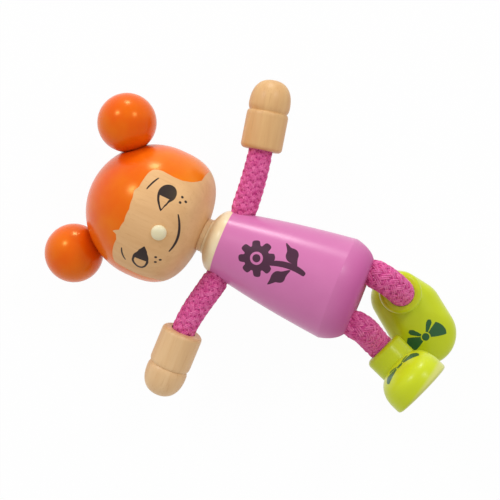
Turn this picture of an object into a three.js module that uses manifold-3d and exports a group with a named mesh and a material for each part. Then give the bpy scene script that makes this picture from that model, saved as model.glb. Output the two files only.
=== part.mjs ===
// A bendable wooden doll lying on its back: turned head and body, rope limbs with a wire core.
// Units are millimetres. World +Z is up, +Y points to the head, +X to the doll's left.

import * as THREE from 'three';
import { mergeVertices } from 'three/addons/utils/BufferGeometryUtils.js';
import Module from 'manifold-3d';

const wasm = await Module();
wasm.setup();

// Driving dimensions

const seatGap = 0.3; // air left between touching pieces
const drillPast = 2; // how far a drill starts outside the piece
const lieTilt = 5.5; // degrees that the body's lower end is propped up by the left foot

// Facets round a piece
const roundSides = 36;
const handSides = 24;
const boreSides = 24;
const pegSides = 16;
const pinSides = 12;
const ropeSides = 12;
const wireBoreSides = 8;
const wireSides = 6;

// Head, measured from its widest ring
const headRadius = 18.3;
const crownHeight = 18.4;
const chinHeight = 14.5;
const chinSquareness = 2.9; // 2 is an ellipse, higher is squarer
const headTurn = 14; // degrees toward the doll's right
const headLean = 2.4; // degrees that the neck's bore leans toward the doll's left

// Hair buns, balls pegged to the head
const bunRadius = 8;
const bunReach = 19.6; // from the neck axis to a bun's centre
const bunRise = 16; // from the widest ring up to a bun's centre
const bunPegRadius = 2;
const bunPegGrip = 5; // depth of the peg's bore in the ball
const bunPegRoot = 6; // depth of the peg's bore in the head

// Nose, a button on a pin
const noseRadius = 2.2;
const noseHeight = 1.3;
const nosePinRadius = 0.9;
const nosePinLength = 5;
const noseDrop = 5.6; // below the widest ring
const noseSeatDepth = 0.35; // the level seat is cut this far into the round face

// Neck, a peg with a collar that shows between the head and the body
const neckCollarRadius = 4.6;
const neckCollarHeight = 0.8;
const neckCollarRound = 0.25;
const neckPegRadius = 2.6;
const neckPegUp = 12;
const neckPegDown = 10;
const neckSeatRadius = 4.7; // flat on top of the shoulders

// Body, one turning: y is measured up from the painted neckline
const shoulderTop = 4.6;
const shoulderSquareness = 2.1;
const necklineRadius = 8.8;
const hemRadius = 14.2;
const hemSwell = 0.45; // the side bows out a little between the neckline and the hem
const hemDrop = 33.5; // from the neckline to the widest ring
const bodyDrop = 39.9; // from the neckline to the flat base
const baseRadius = 9.5; // flat base inside the rounded hem

// Rope limbs
const armRopeRadius = 3.25;
const legRopeRadius = 3.6;
const wireRadius = 0.6;
const wireAir = 0.3; // between the wire and the rope round it
const armMouthStiffness = 0.15; // how far a rope runs straight past the body, a share of its span
const legMouthStiffness = 0.4;
const entryStiffness = 0.4; // the same before a hand or a shoe
const armBoreDepth = 4.5;
const legBoreDepth = 9;
const armDrop = 2.2; // below the neckline
const legSpread = 7.3; // from the body's axis to a leg
const ropeFacet = 0.6; // length of a facet along a rope, a share of its radius

// How each arm lies: bare rope between body and hand, and degrees above level and toward the front
const armPose = {
  left: { ropeLength: 17.7, ropeRaise: 5.7, ropeLift: 0, handRaise: 10.8, handLift: 0 },
  right: { ropeLength: 17.3, ropeRaise: 11, ropeLift: -6, handRaise: 2.2, handLift: -14 },
};

// Hands, turned cuff and fist
const cuffRadius = 5.65;
const cuffLength = 9.3;
const cuffRound = 1.15; // at the rope's mouth, and along the cuff at the wrist
const wristRadius = 5.2; // in the groove between the cuff and the fist
const fistRadius = 5.6;
const fistHeight = 7; // from its widest ring to the tip
const fistSquareness = 2.4;
const handLength = 19.2;
const handBoreDepth = 9;

// Shoes
const shoeSides = 30;
const shoeLength = 28.4;
const ankleFromHeel = 6.3;
const heelRadius = 7.5;
const heelInset = 0.9; // the heel's middle lies inward of the ankle
const ballRadius = 8.2;
const ballReach = 6; // from the ankle to the ball of the foot
const ballOutset = 0.8; // the ball's middle lies outward of the ankle
const toeRadius = 8.8;
const toeOutset = 0.4;
const soleInset = 0.7; // rounding under the edge of the sole
const soleRound = 0.9;
const soleWall = 2.4; // height of the upright edge, below the upper
const shoeDome = 9.9; // height of the upper above the floor
const shoeSquareness = 2.5;
const domeReach = 3.7; // the upper's highest point, from the ankle toward the toe
const ankleRadius = 5.75;
const shoeHeight = 15;
const ankleRound = 1;
const shoeBoreDepth = 10;

// Where the feet are: ankle mouths from the point under the neckline, and how the toes point
const leftAnkle = { x: 5.2, y: -49.9 };
const leftToeTurn = -142; // degrees about the vertical, from straight up the body
const rightAnkle = { x: -10.7, y: -50.6, z: 16.3 };
const rightSoleTurn = -22.5; // degrees that the right sole looks out to the side

const matt = (color, roughness) => new THREE.MeshStandardMaterial({ color, roughness, metalness: 0 });
const finish = {
  orange: matt('#ea6a20', 0.35),
  wood: matt('#d4a56e', 0.6),
  cream: matt('#e6d9b4', 0.5),
  lilac: matt('#d985b6', 0.4),
  rope: matt('#d65a92', 0.95),
  lime: matt('#c6d22a', 0.4),
  steel: new THREE.MeshStandardMaterial({ color: '#9a9a98', roughness: 0.4, metalness: 1 }),
};

// Solids

function solidOf(geometry) {
  const bare = geometry.clone();
  bare.deleteAttribute('normal');
  bare.deleteAttribute('uv');
  const welded = mergeVertices(bare, 1e-4);
  const mesh = new wasm.Mesh({
    numProp: 3,
    vertProperties: new Float32Array(welded.attributes.position.array),
    triVerts: new Uint32Array(welded.index.array),
  });
  return new wasm.Manifold(mesh);
}

function geometryOf(solid) {
  const mesh = solid.getMesh();
  const geometry = new THREE.BufferGeometry();
  geometry.setAttribute('position', new THREE.BufferAttribute(new Float32Array(mesh.vertProperties), 3));
  geometry.setIndex(new THREE.BufferAttribute(new Uint32Array(mesh.triVerts), 1));
  geometry.computeVertexNormals();
  return geometry;
}

// A cylinder from one point to another, used as a drill
function drill(from, to, radius, sides = boreSides) {
  const along = new THREE.Vector3().subVectors(to, from);
  const geometry = new THREE.CylinderGeometry(radius, radius, along.length(), sides);
  const turn = new THREE.Quaternion().setFromUnitVectors(new THREE.Vector3(0, 1, 0), along.clone().normalize());
  geometry.applyQuaternion(turn);
  geometry.translate(...from.clone().addScaledVector(along, 0.5).toArray());
  return solidOf(geometry);
}

// Points of an arc that follows |a|^n + |b|^n = 1, from angle start to angle end in degrees
function superArc(radius, height, power, start, end, steps) {
  const points = [];
  for (let i = 0; i <= steps; i += 1) {
    const angle = THREE.MathUtils.degToRad(start + ((end - start) * i) / steps);
    const across = Math.abs(Math.cos(angle)) ** (2 / power);
    const up = Math.sign(Math.sin(angle)) * Math.abs(Math.sin(angle)) ** (2 / power);
    points.push(new THREE.Vector2(radius * across, height * up));
  }
  return points;
}

function turned(points, sides = roundSides) {
  return new THREE.LatheGeometry(points, sides);
}

function v2(x, y) {
  return new THREE.Vector2(x, y);
}

function v3(x, y, z) {
  return new THREE.Vector3(x, y, z);
}

// A surface through equal rings of points, closed by its first and last ring
function loft(rings) {
  const count = rings[0].length;
  const positions = rings.flat().flatMap((p) => [p.x, p.y, p.z]);
  const faces = [];
  for (let ring = 0; ring + 1 < rings.length; ring += 1) {
    for (let i = 0; i < count; i += 1) {
      const a = ring * count + i;
      const b = ring * count + ((i + 1) % count);
      faces.push(a, b, b + count, a, b + count, a + count);
    }
  }
  const middles = [rings[0], rings[rings.length - 1]].map((ring) => {
    const middle = ring.reduce((sum, p) => sum.add(p), v3(0, 0, 0)).divideScalar(count);
    positions.push(middle.x, middle.y, middle.z);
    return positions.length / 3 - 1;
  });
  const last = (rings.length - 1) * count;
  for (let i = 0; i < count; i += 1) {
    const next = (i + 1) % count;
    faces.push(middles[0], next, i, middles[1], last + i, last + next);
  }
  const geometry = new THREE.BufferGeometry();
  geometry.setAttribute('position', new THREE.Float32BufferAttribute(positions, 3));
  geometry.setIndex(faces);
  return geometry;
}

// Levels worked out from the sizes above, in the body's frame: +Y to the head, origin on the neckline

const lean = THREE.MathUtils.degToRad(headLean);
const neckSeat = shoulderTop - neckSeatRadius * Math.sin(lean); // the shoulders, faced square to the neck
const headBase = seatGap + neckCollarHeight + seatGap; // above the seat
const chinFlat = chinHeight * (1 - (neckCollarRadius / headRadius) ** chinSquareness) ** (1 / chinSquareness);
const headRing = headBase + chinFlat;
const bodyBase = -bodyDrop;

// Frames: the body lies on its back, tilted about X

const lie = new THREE.Matrix4().makeRotationX(-THREE.MathUtils.degToRad(lieTilt));

function bodyRadiusAt(y) {
  const slope = (hemRadius - necklineRadius) / hemDrop;
  return necklineRadius - y * slope;
}

// The neck's own frame stands on the seat
const neckFrame = new THREE.Matrix4().makeRotationZ(-lean).setPosition(0, neckSeat, 0);

// The head, with its own frame at the neck axis: turned after it is drilled

function headProfile() {
  const chin = superArc(headRadius, chinHeight, chinSquareness, -90, 0, 12).filter((p) => p.y > -chinFlat);
  const crown = superArc(headRadius, crownHeight, 2, 0, 90, 12).slice(1);
  crown[crown.length - 1].x = 0;
  return [v2(0, -chinFlat), v2(neckCollarRadius, -chinFlat), ...chin, ...crown];
}

function surfaceRadius(rise) {
  const [height, power] = rise > 0 ? [crownHeight, 2] : [chinHeight, chinSquareness];
  return headRadius * (1 - Math.abs(rise / height) ** power) ** (1 / power);
}

// Where a bun's peg crosses from the head into the ball, along the line to the bun's centre
const bunCentre = v3(bunReach, bunRise, 0);
const bunAxis = bunCentre.clone().normalize();
const bunDistance = bunCentre.length();
const headUnderBun = 1 / Math.hypot(bunAxis.x / headRadius, bunAxis.y / crownHeight);

function bunSide(side, distance) {
  return v3(side * bunAxis.x * distance, bunAxis.y * distance, 0);
}

// The nose sits square on the face, which slopes in toward the chin
const noseSlope = (surfaceRadius(-noseDrop - noseRadius) - surfaceRadius(-noseDrop + noseRadius)) / (2 * noseRadius);
const noseNormal = v3(0, noseSlope, 1).normalize();
const noseSeat = v3(0, -noseDrop, surfaceRadius(-noseDrop));

function onNoseAxis(height) {
  return noseSeat.clone().addScaledVector(noseNormal, height);
}

function headSolid() {
  let solid = solidOf(turned(headProfile()));
  const neckBore = neckPegRadius + seatGap;
  solid = solid.subtract(
    drill(v3(0, -chinHeight - drillPast, 0), v3(0, -chinFlat + neckPegUp + seatGap, 0), neckBore),
  );
  for (const side of [1, -1]) {
    solid = solid.subtract(
      drill(bunSide(side, headUnderBun - bunPegRoot), bunSide(side, bunDistance), bunPegRadius + seatGap, pegSides),
    );
    solid = solid.subtract(ballAt(bunSide(side, bunDistance), bunRadius + seatGap));
  }
  const outside = onNoseAxis(noseHeight + drillPast);
  solid = solid.subtract(drill(onNoseAxis(-nosePinLength - seatGap), outside, nosePinRadius + seatGap, pinSides));
  return solid.subtract(drill(onNoseAxis(-noseSeatDepth), outside, noseRadius + seatGap));
}

function ballAt(centre, radius) {
  const geometry = new THREE.SphereGeometry(radius, 32, 20);
  geometry.translate(centre.x, centre.y, centre.z);
  return solidOf(geometry);
}

function bunSolid(side) {
  const ball = turned(ballProfile(bunRadius), 28);
  const turn = new THREE.Quaternion().setFromUnitVectors(v3(0, 1, 0), bunSide(side, 1));
  ball.applyQuaternion(turn);
  ball.translate(...bunSide(side, bunDistance).toArray());
  const bore = drill(
    bunSide(side, headUnderBun - bunPegRoot),
    bunSide(side, bunDistance - bunRadius + bunDip + bunPegGrip),
    bunPegRadius + seatGap,
    pegSides,
  );
  return solidOf(ball).subtract(bore);
}

// The ball presses into a shallow dish in the head, so its peg starts this far inside it
const bunDip = Math.max(0, headUnderBun - (bunDistance - bunRadius));

function ballProfile(radius) {
  const points = superArc(radius, radius, 2, -90, 90, 16);
  points[0].x = 0;
  points[points.length - 1].x = 0;
  return points;
}

function bunPegGeometry(side) {
  const from = headUnderBun - bunPegRoot + seatGap;
  const to = bunDistance - bunRadius + bunDip + bunPegGrip - seatGap;
  const peg = new THREE.CylinderGeometry(bunPegRadius, bunPegRadius, to - from, pegSides);
  peg.applyQuaternion(new THREE.Quaternion().setFromUnitVectors(v3(0, 1, 0), bunSide(side, 1)));
  peg.translate(...bunSide(side, (from + to) / 2).toArray());
  return peg;
}

function noseGeometry() {
  const dome = superArc(noseRadius, noseHeight, 2, 0, 90, 6);
  dome[dome.length - 1].x = 0;
  const base = seatGap - noseSeatDepth;
  const profile = [
    v2(0, -nosePinLength),
    v2(nosePinRadius, -nosePinLength),
    v2(nosePinRadius, base),
    v2(noseRadius, base),
    ...dome,
  ];
  const nose = turned(profile, boreSides);
  nose.applyQuaternion(new THREE.Quaternion().setFromUnitVectors(v3(0, 1, 0), noseNormal));
  nose.translate(...noseSeat.toArray());
  return nose;
}

// The neck's peg, with y = 0 on the seat
function neckPegGeometry() {
  const foot = seatGap - neckPegDown;
  const top = headBase + neckPegUp - seatGap;
  const collarFoot = seatGap;
  const collarTop = collarFoot + neckCollarHeight;
  return turned([
    v2(0, foot),
    v2(neckPegRadius, foot),
    v2(neckPegRadius, collarFoot),
    v2(neckCollarRadius - neckCollarRound, collarFoot),
    v2(neckCollarRadius, collarFoot + neckCollarRound),
    v2(neckCollarRadius, collarTop - neckCollarRound),
    v2(neckCollarRadius - neckCollarRound, collarTop),
    v2(neckPegRadius, collarTop),
    v2(neckPegRadius, top),
    v2(0, top),
  ], boreSides);
}

// The body

function bodyProfile() {
  const hem = superArc(hemRadius - baseRadius, bodyDrop - hemDrop, 2, -90, 0, 6);
  const side = 6;
  const points = [v2(0, bodyBase)];
  hem.forEach((p) => points.push(v2(baseRadius + p.x, -hemDrop + p.y)));
  for (let i = 1; i < side; i += 1) {
    const y = -hemDrop + (hemDrop * i) / side;
    points.push(v2(bodyRadiusAt(y) + hemSwell * Math.sin((Math.PI * i) / side), y));
  }
  superArc(necklineRadius, shoulderTop, shoulderSquareness, 0, 90, 9)
    .filter((p) => p.x > neckSeatRadius)
    .forEach((p) => points.push(p));
  points.push(v2(neckSeatRadius, shoulderTop));
  points.push(v2(0, shoulderTop));
  return points;
}

const armRoots = [1, -1].map((side) => v3(side * (bodyRadiusAt(-armDrop) - armBoreDepth), -armDrop, 0));
const armMouths = [1, -1].map((side) => v3(side * bodyRadiusAt(-armDrop), -armDrop, 0));
const legRoots = [1, -1].map((side) => v3(side * legSpread, bodyBase + legBoreDepth, 0));
const legMouths = [1, -1].map((side) => v3(side * legSpread, bodyBase, 0));

function bodySolid() {
  let solid = solidOf(turned(bodyProfile()));
  const neckAt = (y) => v3(0, y, 0).applyMatrix4(neckFrame);
  solid = solid.subtract(drill(neckAt(-neckPegDown), neckAt(drillPast), neckPegRadius + seatGap));
  solid = solid.subtract(drill(neckAt(0), neckAt(drillPast), neckSeatRadius + seatGap, roundSides));
  [1, -1].forEach((side, index) => {
    const out = armMouths[index].clone().add(v3(side * drillPast, 0, 0));
    solid = solid.subtract(drill(armRoots[index], out, armRopeRadius + seatGap));
    const down = legMouths[index].clone().add(v3(0, -drillPast, 0));
    solid = solid.subtract(drill(legRoots[index], down, legRopeRadius + seatGap));
  });
  return solid;
}

// Limbs

// A rope's middle line: straight in both bores and one smooth bend between their mouths
class LimbPath extends THREE.Curve {
  constructor(root, mouth, entry, end, mouthStiffness) {
    super();
    const span = mouth.distanceTo(entry);
    const out = mouth.clone().sub(root).normalize();
    const into = end.clone().sub(entry).normalize();
    this.parts = [
      new THREE.LineCurve3(root, mouth),
      new THREE.CubicBezierCurve3(
        mouth,
        mouth.clone().addScaledVector(out, span * mouthStiffness),
        entry.clone().addScaledVector(into, -span * entryStiffness),
        entry,
      ),
      new THREE.LineCurve3(entry, end),
    ];
    this.lengths = this.parts.map((part) => part.getLength());
    this.total = this.lengths.reduce((sum, length) => sum + length, 0);
  }

  getPoint(t, target = new THREE.Vector3()) {
    let left = t * this.total;
    let index = 0;
    while (index < 2 && left > this.lengths[index]) {
      left -= this.lengths[index];
      index += 1;
    }
    return target.copy(this.parts[index].getPointAt(Math.min(1, left / this.lengths[index])));
  }

  bareLength() {
    return this.lengths[1];
  }

  // A point a share of the way along the bare rope
  barePoint(share) {
    return this.parts[1].getPointAt(share);
  }
}

function circle(radius, sides) {
  return Array.from({ length: sides }, (_, i) => {
    const angle = (2 * Math.PI * i) / sides;
    return v2(radius * Math.cos(angle), radius * Math.sin(angle));
  });
}

function along(path, section, radius) {
  const steps = Math.ceil(path.total / (radius * ropeFacet));
  return new THREE.ExtrudeGeometry(section, { steps, bevelEnabled: false, extrudePath: path });
}

function ropeGeometry(path, radius) {
  const section = new THREE.Shape(circle(radius, ropeSides));
  section.holes.push(new THREE.Path(circle(wireRadius + wireAir, wireBoreSides)));
  return along(path, section, radius);
}

function wireGeometry(path, radius) {
  return along(path, new THREE.Shape(circle(wireRadius, wireSides)), radius);
}

// A hand along its own +Y, with the rope's bore at y = 0
function handGeometry() {
  const bore = armRopeRadius + seatGap;
  const profile = [v2(0, handBoreDepth), v2(bore, handBoreDepth), v2(bore, 0)];
  superArc(cuffRound, cuffRound, 2, -90, 0, 4).forEach((p) => {
    profile.push(v2(cuffRadius - cuffRound + p.x, cuffRound + p.y));
  });
  const wristStep = cuffRadius - wristRadius;
  superArc(wristStep, cuffRound, 2, 0, 90, 4).forEach((p) => {
    profile.push(v2(wristRadius + p.x, cuffLength - cuffRound + p.y));
  });
  const fistMiddle = handLength - fistHeight;
  const fist = superArc(fistRadius, fistHeight, fistSquareness, -90, 90, 16);
  fist[fist.length - 1].x = 0;
  fist.forEach((p) => {
    const y = fistMiddle + p.y;
    if (y > cuffLength + cuffRound / 4) profile.push(v2(p.x, y));
  });
  return turned(profile, handSides);
}

// The belt round three circles, heel, ball and toe: each way out, the circle that reaches farthest
function soleOutline(outward) {
  const circles = [
    { x: -outward * heelInset, y: heelRadius - ankleFromHeel, radius: heelRadius },
    { x: outward * ballOutset, y: ballReach, radius: ballRadius },
    { x: outward * toeOutset, y: shoeLength - ankleFromHeel - toeRadius, radius: toeRadius },
  ];
  return circle(1, shoeSides).map((way) => {
    const reach = ({ x, y, radius }) => x * way.x + y * way.y + radius;
    const far = circles.reduce((best, next) => (reach(next) > reach(best) ? next : best));
    return v2(far.x + far.radius * way.x, far.y + far.radius * way.y);
  });
}

// A shoe with its toe along +Y and its sole on z = 0; the origin is under the ankle
function shoeSolid(outward) {
  const outline = soleOutline(outward);
  const soleEdge = superArc(soleInset, soleRound, 2, -90, 0, 3);
  const upper = superArc(1, shoeDome - soleWall, shoeSquareness, 0, 87, 9);
  const levels = [
    ...soleEdge.map((p) => ({ z: soleRound + p.y, grow: 1 - (soleInset - p.x) / toeRadius })),
    ...upper.map((p) => ({ z: soleWall + p.y, grow: p.x })),
  ];
  const rings = levels.map(({ z, grow }) =>
    outline.map((p) => v3(p.x * grow, domeReach + (p.y - domeReach) * grow, z)),
  );
  const ankle = turned([
    v2(0, soleWall),
    v2(ankleRadius, soleWall),
    ...superArc(ankleRound, ankleRound, 2, 0, 90, 3).map((p) =>
      v2(ankleRadius - ankleRound + p.x, shoeHeight - ankleRound + p.y),
    ),
    v2(0, shoeHeight),
  ]);
  ankle.rotateX(Math.PI / 2);
  const bore = drill(
    v3(0, 0, shoeHeight - shoeBoreDepth),
    v3(0, 0, shoeHeight + drillPast),
    legRopeRadius + seatGap,
  );
  return solidOf(loft(rings)).add(solidOf(ankle)).subtract(bore);
}

// Assembly

export const doll = new THREE.Group();
const trunk = new THREE.Group();
const neck = new THREE.Group();
const head = new THREE.Group();
doll.add(trunk);
trunk.add(neck);
neck.add(head);
trunk.applyMatrix4(lie);
neck.applyMatrix4(neckFrame);
head.position.y = headRing;
head.rotation.y = -THREE.MathUtils.degToRad(headTurn);

function put(group, name, geometry, material) {
  const mesh = new THREE.Mesh(geometry, material);
  mesh.name = name;
  group.add(mesh);
  return mesh;
}

put(head, 'head', geometryOf(headSolid()), finish.orange);
put(head, 'nose', noseGeometry(), finish.cream);
['left', 'right'].forEach((name, index) => {
  const side = 1 - 2 * index;
  put(head, `bun_${name}`, geometryOf(bunSolid(side)), finish.orange);
  put(head, `bun_peg_${name}`, bunPegGeometry(side), finish.wood);
});
put(neck, 'neck_peg', neckPegGeometry(), finish.wood);
put(trunk, 'body', geometryOf(bodySolid()), finish.lilac);

// The head touches the floor behind, which sets the height of everything else
doll.updateMatrixWorld(true);
const headLow = new THREE.Box3().setFromObject(head, true).min.z;
trunk.position.z = -headLow;
doll.updateMatrixWorld(true);

const inBody = (point) => point.clone().applyMatrix4(trunk.matrixWorld);

// A rope stops short of the bottom of both its bores
function limb(name, root, mouth, entry, into, depth, radius, mouthStiffness) {
  const inner = mouth.clone().lerp(root, 1 - seatGap / mouth.distanceTo(root));
  const end = entry.clone().addScaledVector(into, depth - seatGap);
  const path = new LimbPath(inner, mouth, entry, end, mouthStiffness);
  put(doll, `${name}_rope`, ropeGeometry(path, radius), finish.rope);
  put(doll, `${name}_wire`, wireGeometry(path, radius), finish.steel);
  return path;
}

// A direction out to one side of the body, raised and lifted by degrees
function sideways(side, raise, lift) {
  const up = THREE.MathUtils.degToRad(raise);
  const out = THREE.MathUtils.degToRad(lift);
  const direction = v3(side * Math.cos(up) * Math.cos(out), Math.sin(up) * Math.cos(out), Math.sin(out));
  return direction.transformDirection(trunk.matrixWorld);
}

export const limbs = {};

['left', 'right'].forEach((name, index) => {
  const side = 1 - 2 * index;
  const pose = armPose[name];
  const chord = sideways(side, pose.ropeRaise, pose.ropeLift);
  const into = sideways(side, pose.handRaise, pose.handLift);
  const root = inBody(armRoots[index]);
  const mouth = inBody(armMouths[index]);
  const entry = mouth.clone().addScaledVector(chord, pose.ropeLength);
  const hand = put(doll, `hand_${name}`, handGeometry(), finish.wood);
  hand.quaternion.setFromUnitVectors(v3(0, 1, 0), into);
  hand.position.copy(entry);
  limbs[`arm_${name}`] = limb(
    `arm_${name}`,
    root,
    mouth,
    entry,
    into,
    handBoreDepth,
    armRopeRadius,
    armMouthStiffness,
  );
});

function stand(name, outward, mouth, up, toe) {
  const shoe = put(doll, name, geometryOf(shoeSolid(outward)), finish.lime);
  const aside = toe.clone().cross(up);
  const turn = new THREE.Matrix4().makeBasis(aside, toe, up);
  shoe.quaternion.setFromRotationMatrix(turn);
  shoe.position.copy(mouth).addScaledVector(up, -shoeHeight);
}

const leftTurn = THREE.MathUtils.degToRad(leftToeTurn);
const leftMouth = v3(leftAnkle.x, leftAnkle.y, shoeHeight);
const leftToe = v3(Math.sin(leftTurn), Math.cos(leftTurn), 0);
stand('shoe_left', -1, leftMouth, v3(0, 0, 1), leftToe);

const rightTurn = THREE.MathUtils.degToRad(rightSoleTurn);
const rightMouth = v3(rightAnkle.x, rightAnkle.y, rightAnkle.z);
const rightUp = v3(-Math.sin(rightTurn), Math.cos(rightTurn), 0);
stand('shoe_right', 1, rightMouth, rightUp, v3(0, 0, 1));

[leftMouth, rightMouth].forEach((mouth, index) => {
  const name = index === 0 ? 'leg_left' : 'leg_right';
  const into = index === 0 ? v3(0, 0, -1) : rightUp.clone().negate();
  limbs[name] = limb(
    name,
    inBody(legRoots[index]),
    inBody(legMouths[index]),
    mouth,
    into,
    shoeBoreDepth,
    legRopeRadius,
    legMouthStiffness,
  );
});

// The origin is on the floor, under the middle of the doll's box
const box = new THREE.Box3().setFromObject(doll, true);
const middle = box.getCenter(v3(0, 0, 0));
doll.position.set(-middle.x, -middle.y, -box.min.z);
doll.updateMatrixWorld(true);

export default doll;
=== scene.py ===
# %% [markdown]
# # A bendable wooden doll
#
# This lesson dresses a small wooden doll: a turned head, body and hands, two carved shoes, and limbs
# of braided cord with a wire inside. The plain solids come first, as a frame that nothing here moves.
# Everything is in metres, with +Z up, +Y toward the head and +X to the doll's left.

import math

import bpy
import numpy as np
from mathutils import Matrix, Vector


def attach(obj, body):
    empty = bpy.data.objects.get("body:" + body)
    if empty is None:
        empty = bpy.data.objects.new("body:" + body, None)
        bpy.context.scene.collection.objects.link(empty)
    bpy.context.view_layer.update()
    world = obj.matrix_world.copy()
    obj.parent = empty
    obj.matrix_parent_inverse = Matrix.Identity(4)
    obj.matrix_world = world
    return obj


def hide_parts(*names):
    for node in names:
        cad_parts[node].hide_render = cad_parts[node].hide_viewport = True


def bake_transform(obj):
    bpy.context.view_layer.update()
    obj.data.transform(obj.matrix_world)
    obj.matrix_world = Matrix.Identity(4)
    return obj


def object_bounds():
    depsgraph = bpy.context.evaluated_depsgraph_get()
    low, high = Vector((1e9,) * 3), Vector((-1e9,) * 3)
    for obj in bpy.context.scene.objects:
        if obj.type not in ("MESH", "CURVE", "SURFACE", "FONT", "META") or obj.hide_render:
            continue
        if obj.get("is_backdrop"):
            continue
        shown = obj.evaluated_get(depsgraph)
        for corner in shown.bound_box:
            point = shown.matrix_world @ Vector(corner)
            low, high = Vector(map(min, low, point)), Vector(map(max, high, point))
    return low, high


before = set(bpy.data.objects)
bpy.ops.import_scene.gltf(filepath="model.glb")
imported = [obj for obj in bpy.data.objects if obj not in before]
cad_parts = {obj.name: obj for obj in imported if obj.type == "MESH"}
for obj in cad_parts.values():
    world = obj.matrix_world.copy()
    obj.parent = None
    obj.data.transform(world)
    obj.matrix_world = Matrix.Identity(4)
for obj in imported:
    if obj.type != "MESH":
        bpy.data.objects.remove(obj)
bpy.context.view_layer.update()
bpy.ops.object.select_all(action="DESELECT")

MM = 0.001

# %% [markdown]
# ## Camera
# The doll lies on a table and the camera hangs straight above it, turned so that the head is at the
# left. A long lens far away flattens the view, as in a product photograph. One pixel of a 500 pixel
# picture covers 0.27 mm here.

# %% Camera
camera_distance = 896 * MM
focal_length, film_width = 240, 36
camera_target = Vector((0.358, 4.838, 20.9)) * MM
picture_up = Vector((0.9286, 0.3710, 0)).normalized()
picture_right = Vector((0.3710, -0.9286, 0)).normalized()

camera_data = bpy.data.cameras.new("camera")
camera_data.lens = focal_length
camera_data.sensor_width = film_width
camera = bpy.data.objects.new("camera", camera_data)
bpy.context.scene.collection.objects.link(camera)
axes = Matrix((picture_right, picture_up, Vector((0, 0, 1)))).transposed().to_4x4()
camera.matrix_world = Matrix.Translation(camera_target + Vector((0, 0, camera_distance))) @ axes
bpy.context.scene.camera = camera
print("picture width in mm", round(camera_distance * film_width / focal_length / MM, 1))

# %% [markdown]
# ## Sizes
# These are the sizes of the plain solids in the frame, in mm. The dressed pieces take the same ones, so
# that they lie where the solids do, only finer.

# %% Sizes of the turned pieces
bore_air = 0.3  # between a peg and its bore
rope_air = 0.12  # between a cord and its bore, which is nearly closed by glue
drill_start = 2  # how far outside the wood a drill starts

head_radius = 18.3
crown_height = 18.4
chin_height = 14.5
chin_square = 2.9  # 2 is an ellipse, higher is squarer
bun_radius = 8
bun_line = Vector((19.6, 16, 0))  # from the middle of the head's widest ring to a bun's centre
bun_peg_bore = 2 + bore_air  # radius of the bores for a bun's peg
bun_peg_root = 12  # where a peg's bore ends, from the head's middle
bun_peg_depth = 5.4  # how deep it goes into the bun

shoulder_top = 4.6
shoulder_square = 2.1
neckline_radius = 8.8
hem_radius = 14.2
hem_swell = 0.45
hem_drop = 33.5
body_drop = 39.9
base_radius = 9.5

neck_seat = 4.7
neck_peg_radius = 2.6
neck_peg_up = 12
neck_peg_down = 10
collar_radius = 4.6
collar_height = 0.8

# %% Sizes of the limbs
arm_rope = 3.25
leg_rope = 3.6
arm_drop = 2.2  # from the neckline down to an arm's bore
leg_spread = 7.3  # from the body's axis to a leg's bore
arm_bore = 4.5  # how deep an arm's cord goes in
arm_bore_end = 4.5  # from the body's axis
leg_bore = 9
hand_bore = 9
shoe_bore = 10
shoe_height = 15
arm_mouth_stiffness = 0.15  # how far a cord runs straight from its bore, a share of its bare span
leg_mouth_stiffness = 0.4
entry_stiffness = 0.4

# %% [markdown]
# ## Where the pieces are
# Each turned piece is modelled in a frame of its own, with the lathe's axis along Y, and then put in
# its place. A place is a matrix: a turn and a shift. The body is tipped up a little because the left
# foot props it, the neck's bore leans toward the doll's left, and the head is turned on its peg.

# %% Places of the body and the head
lie_tilt = 5.5
neck_lean = 2.4
head_turn = 14
neckline_middle = Vector((-0.442, 12.549, 20.177))


def shift(x, y, z):
    return Matrix.Translation((x * MM, y * MM, z * MM))


def turn(axis, degrees):
    return Matrix.Rotation(math.radians(degrees), 4, axis)


chin_flat = chin_height * (1 - (collar_radius / head_radius) ** chin_square) ** (1 / chin_square)
head_ring = 2 * bore_air + collar_height + chin_flat  # from the neck's seat to the widest ring
seat_rise = shoulder_top - neck_seat * math.sin(math.radians(neck_lean))

body_place = shift(*neckline_middle) @ turn("X", -lie_tilt)
neck_place = body_place @ shift(0, seat_rise, 0) @ turn("Z", -neck_lean)
head_place = neck_place @ shift(0, head_ring, 0) @ turn("Y", -head_turn)
print("head centre in mm", [round(c / MM, 2) for c in head_place.translation])


# %% [markdown]
# A limb is one cord from the bottom of a bore in the body to the bottom of a bore in a hand or a shoe.
# Six points say how it runs: where it starts, the bore's mouth, two points that steer the bend, the
# mouth of the hand or shoe, and where it ends. An arm is given by its length and two directions, a leg
# by where the photograph shows the ankle.


# %% Places of the limbs
def in_body(x, y):
    """A point of the body's middle plane, in mm of the world."""
    return body_place @ (Vector((x, y, 0)) * MM) / MM


def sideways(side, raised, lifted):
    """A direction out to one side, raised toward the head and lifted toward the front, in degrees."""
    up, out = math.radians(raised), math.radians(lifted)
    flat = Vector((side * math.cos(up), math.sin(up), 0)) * math.cos(out)
    return body_place.to_3x3() @ (flat + Vector((0, 0, math.sin(out))))


def limb_line(root, mouth, entry, into, depth, stiffness):
    """The six points of a limb, in mm of the world."""
    span = (entry - mouth).length
    out = (mouth - root).normalized()
    steer = [mouth + out * span * stiffness, entry - into * span * entry_stiffness]
    return [root + out * bore_air, mouth, *steer, entry, entry + into * (depth - bore_air)]


def place_of(origin, along, up):
    """The matrix of a frame with its origin in mm, its Y along a direction and its Z up."""
    y = Vector(along).normalized()
    x = y.cross(Vector(up)).normalized()
    turned = Matrix((x, y, x.cross(y))).transposed().to_4x4()
    return Matrix.Translation(Vector(origin) * MM) @ turned


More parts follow.
